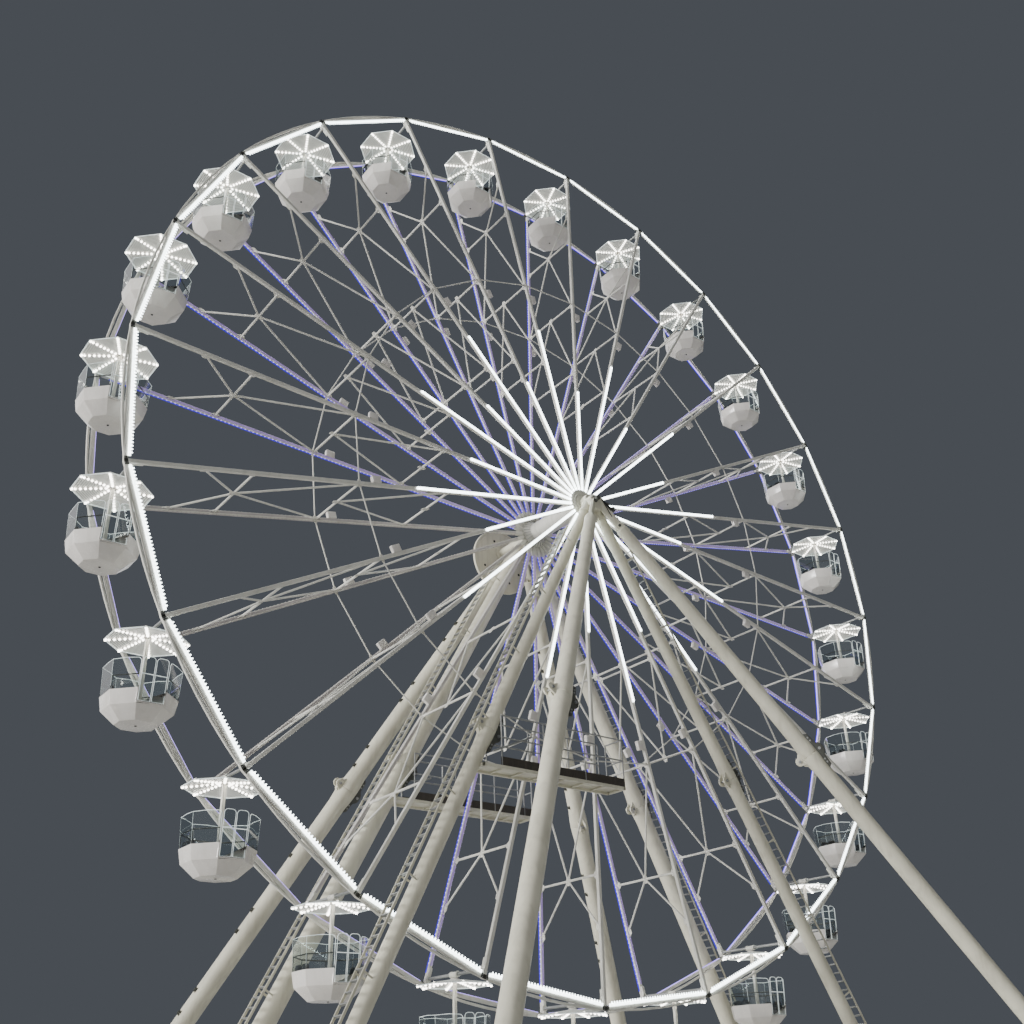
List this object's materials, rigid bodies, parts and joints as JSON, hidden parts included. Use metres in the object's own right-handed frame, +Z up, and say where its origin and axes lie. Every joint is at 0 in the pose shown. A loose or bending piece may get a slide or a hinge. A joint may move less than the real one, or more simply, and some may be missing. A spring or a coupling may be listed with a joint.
{
  "type": "ferris wheel",
  "caption": "Open-frame travelling ferris wheel: trussed spokes turn on a fixed axle carried by raked legs, and octagonal gondolas hang level from the rim under flat canopies.",
  "frame": {"origin": "on the ground, straight below the middle of the wheel's axle", "axes": "+Z up; +Y along the axle from the illuminated front of the wheel to its rear; +X to the right for someone facing the front"},
  "size_m": [33.6544, 20.26, 36.007],
  "materials": {
    "wheel_paint": "semi-gloss off-white enamel over galvanised steel",
    "leg_paint": "semi-gloss cream enamel",
    "gondola_shell": "glossy off-white moulded shell"
  },
  "bodies": {
    "stand": {"main_axle": "leg_paint", "front_left_leg": "leg_paint", "front_left_outrigger": "leg_paint", "front_right_leg": "leg_paint", "front_right_outrigger": "leg_paint", "rear_left_leg": "leg_paint", "rear_left_outrigger": "leg_paint", "rear_right_leg": "leg_paint", "rear_right_outrigger": "leg_paint"},
    "wheel": {"spoke_01": "wheel_paint", "spoke_02": "wheel_paint", "spoke_03": "wheel_paint", "spoke_04": "wheel_paint", "spoke_05": "wheel_paint", "spoke_06": "wheel_paint", "spoke_07": "wheel_paint", "spoke_08": "wheel_paint", "spoke_09": "wheel_paint", "spoke_10": "wheel_paint", "spoke_11": "wheel_paint", "spoke_12": "wheel_paint", "spoke_13": "wheel_paint", "spoke_14": "wheel_paint", "spoke_15": "wheel_paint", "spoke_16": "wheel_paint", "spoke_17": "wheel_paint", "spoke_18": "wheel_paint", "spoke_19": "wheel_paint", "spoke_20": "wheel_paint", "spoke_21": "wheel_paint", "spoke_22": "wheel_paint", "spoke_23": "wheel_paint", "spoke_24": "wheel_paint", "front_rim": "wheel_paint", "rear_rim": "wheel_paint", "wheel_hub": "wheel_paint"},
    "gondola_01_body": {"gondola_01": "gondola_shell"},
    "gondola_02_body": {"gondola_02": "gondola_shell"},
    "gondola_03_body": {"gondola_03": "gondola_shell"},
    "gondola_04_body": {"gondola_04": "gondola_shell"},
    "gondola_05_body": {"gondola_05": "gondola_shell"},
    "gondola_06_body": {"gondola_06": "gondola_shell"},
    "gondola_07_body": {"gondola_07": "gondola_shell"},
    "gondola_08_body": {"gondola_08": "gondola_shell"},
    "gondola_09_body": {"gondola_09": "gondola_shell"},
    "gondola_10_body": {"gondola_10": "gondola_shell"},
    "gondola_11_body": {"gondola_11": "gondola_shell"},
    "gondola_12_body": {"gondola_12": "gondola_shell"},
    "gondola_13_body": {"gondola_13": "gondola_shell"},
    "gondola_14_body": {"gondola_14": "gondola_shell"},
    "gondola_15_body": {"gondola_15": "gondola_shell"},
    "gondola_16_body": {"gondola_16": "gondola_shell"},
    "gondola_17_body": {"gondola_17": "gondola_shell"},
    "gondola_18_body": {"gondola_18": "gondola_shell"},
    "gondola_19_body": {"gondola_19": "gondola_shell"},
    "gondola_20_body": {"gondola_20": "gondola_shell"},
    "gondola_21_body": {"gondola_21": "gondola_shell"},
    "gondola_22_body": {"gondola_22": "gondola_shell"},
    "gondola_23_body": {"gondola_23": "gondola_shell"},
    "gondola_24_body": {"gondola_24": "gondola_shell"}
  },
  "joints": [
    {"name": "wheel_spin", "type": "hinge", "parent": "stand", "child": "wheel", "pos_m": [0, 0, 19.9], "axis": [0, 1, 0], "continuous": true},
    {"name": "gondola_01_hang", "type": "hinge", "parent": "wheel", "child": "gondola_01_body", "pos_m": [15.85717, 0, 19.40167], "axis": [0, 1, 0], "continuous": true},
    {"name": "gondola_02_hang", "type": "hinge", "parent": "wheel", "child": "gondola_02_body", "pos_m": [15.44583, 0, 23.52279], "axis": [0, 1, 0], "continuous": true},
    {"name": "gondola_03_hang", "type": "hinge", "parent": "wheel", "child": "gondola_03_body", "pos_m": [13.98188, 0, 27.39702], "axis": [0, 1, 0], "continuous": true},
    {"name": "gondola_04_hang", "type": "hinge", "parent": "wheel", "child": "gondola_04_body", "pos_m": [11.56509, 0, 30.76034], "axis": [0, 1, 0], "continuous": true},
    {"name": "gondola_05_hang", "type": "hinge", "parent": "wheel", "child": "gondola_05_body", "pos_m": [8.36015, 0, 33.38355], "axis": [0, 1, 0], "continuous": true},
    {"name": "gondola_06_hang", "type": "hinge", "parent": "wheel", "child": "gondola_06_body", "pos_m": [4.58549, 0, 35.08787], "axis": [0, 1, 0], "continuous": true},
    {"name": "gondola_07_hang", "type": "hinge", "parent": "wheel", "child": "gondola_07_body", "pos_m": [0.49833, 0, 35.75717], "axis": [0, 1, 0], "continuous": true},
    {"name": "gondola_08_hang", "type": "hinge", "parent": "wheel", "child": "gondola_08_body", "pos_m": [-3.62279, 0, 35.34583], "axis": [0, 1, 0], "continuous": true},
    {"name": "gondola_09_hang", "type": "hinge", "parent": "wheel", "child": "gondola_09_body", "pos_m": [-7.49702, 0, 33.88188], "axis": [0, 1, 0], "continuous": true},
    {"name": "gondola_10_hang", "type": "hinge", "parent": "wheel", "child": "gondola_10_body", "pos_m": [-10.86034, 0, 31.46509], "axis": [0, 1, 0], "continuous": true},
    {"name": "gondola_11_hang", "type": "hinge", "parent": "wheel", "child": "gondola_11_body", "pos_m": [-13.48355, 0, 28.26015], "axis": [0, 1, 0], "continuous": true},
    {"name": "gondola_12_hang", "type": "hinge", "parent": "wheel", "child": "gondola_12_body", "pos_m": [-15.18787, 0, 24.48549], "axis": [0, 1, 0], "continuous": true},
    {"name": "gondola_13_hang", "type": "hinge", "parent": "wheel", "child": "gondola_13_body", "pos_m": [-15.85717, 0, 20.39833], "axis": [0, 1, 0], "continuous": true},
    {"name": "gondola_14_hang", "type": "hinge", "parent": "wheel", "child": "gondola_14_body", "pos_m": [-15.44583, 0, 16.27721], "axis": [0, 1, 0], "continuous": true},
    {"name": "gondola_15_hang", "type": "hinge", "parent": "wheel", "child": "gondola_15_body", "pos_m": [-13.98188, 0, 12.40298], "axis": [0, 1, 0], "continuous": true},
    {"name": "gondola_16_hang", "type": "hinge", "parent": "wheel", "child": "gondola_16_body", "pos_m": [-11.56509, 0, 9.03966], "axis": [0, 1, 0], "continuous": true},
    {"name": "gondola_17_hang", "type": "hinge", "parent": "wheel", "child": "gondola_17_body", "pos_m": [-8.36015, 0, 6.41645], "axis": [0, 1, 0], "continuous": true},
    {"name": "gondola_18_hang", "type": "hinge", "parent": "wheel", "child": "gondola_18_body", "pos_m": [-4.58549, 0, 4.71213], "axis": [0, 1, 0], "continuous": true},
    {"name": "gondola_19_hang", "type": "hinge", "parent": "wheel", "child": "gondola_19_body", "pos_m": [-0.49833, 0, 4.04283], "axis": [0, 1, 0], "continuous": true},
    {"name": "gondola_20_hang", "type": "hinge", "parent": "wheel", "child": "gondola_20_body", "pos_m": [3.62279, 0, 4.45417], "axis": [0, 1, 0], "continuous": true},
    {"name": "gondola_21_hang", "type": "hinge", "parent": "wheel", "child": "gondola_21_body", "pos_m": [7.49702, 0, 5.91812], "axis": [0, 1, 0], "continuous": true},
    {"name": "gondola_22_hang", "type": "hinge", "parent": "wheel", "child": "gondola_22_body", "pos_m": [10.86034, 0, 8.33491], "axis": [0, 1, 0], "continuous": true},
    {"name": "gondola_23_hang", "type": "hinge", "parent": "wheel", "child": "gondola_23_body", "pos_m": [13.48355, 0, 11.53985], "axis": [0, 1, 0], "continuous": true},
    {"name": "gondola_24_hang", "type": "hinge", "parent": "wheel", "child": "gondola_24_body", "pos_m": [15.18787, 0, 15.31451], "axis": [0, 1, 0], "continuous": true}
  ],
  "couplings": [
    {"joint": "gondola_01_hang", "follows": "wheel_spin", "ratio": -1},
    {"joint": "gondola_02_hang", "follows": "wheel_spin", "ratio": -1},
    {"joint": "gondola_03_hang", "follows": "wheel_spin", "ratio": -1},
    {"joint": "gondola_04_hang", "follows": "wheel_spin", "ratio": -1},
    {"joint": "gondola_05_hang", "follows": "wheel_spin", "ratio": -1},
    {"joint": "gondola_06_hang", "follows": "wheel_spin", "ratio": -1},
    {"joint": "gondola_07_hang", "follows": "wheel_spin", "ratio": -1},
    {"joint": "gondola_08_hang", "follows": "wheel_spin", "ratio": -1},
    {"joint": "gondola_09_hang", "follows": "wheel_spin", "ratio": -1},
    {"joint": "gondola_10_hang", "follows": "wheel_spin", "ratio": -1},
    {"joint": "gondola_11_hang", "follows": "wheel_spin", "ratio": -1},
    {"joint": "gondola_12_hang", "follows": "wheel_spin", "ratio": -1},
    {"joint": "gondola_13_hang", "follows": "wheel_spin", "ratio": -1},
    {"joint": "gondola_14_hang", "follows": "wheel_spin", "ratio": -1},
    {"joint": "gondola_15_hang", "follows": "wheel_spin", "ratio": -1},
    {"joint": "gondola_16_hang", "follows": "wheel_spin", "ratio": -1},
    {"joint": "gondola_17_hang", "follows": "wheel_spin", "ratio": -1},
    {"joint": "gondola_18_hang", "follows": "wheel_spin", "ratio": -1},
    {"joint": "gondola_19_hang", "follows": "wheel_spin", "ratio": -1},
    {"joint": "gondola_20_hang", "follows": "wheel_spin", "ratio": -1},
    {"joint": "gondola_21_hang", "follows": "wheel_spin", "ratio": -1},
    {"joint": "gondola_22_hang", "follows": "wheel_spin", "ratio": -1},
    {"joint": "gondola_23_hang", "follows": "wheel_spin", "ratio": -1},
    {"joint": "gondola_24_hang", "follows": "wheel_spin", "ratio": -1}
  ]
}
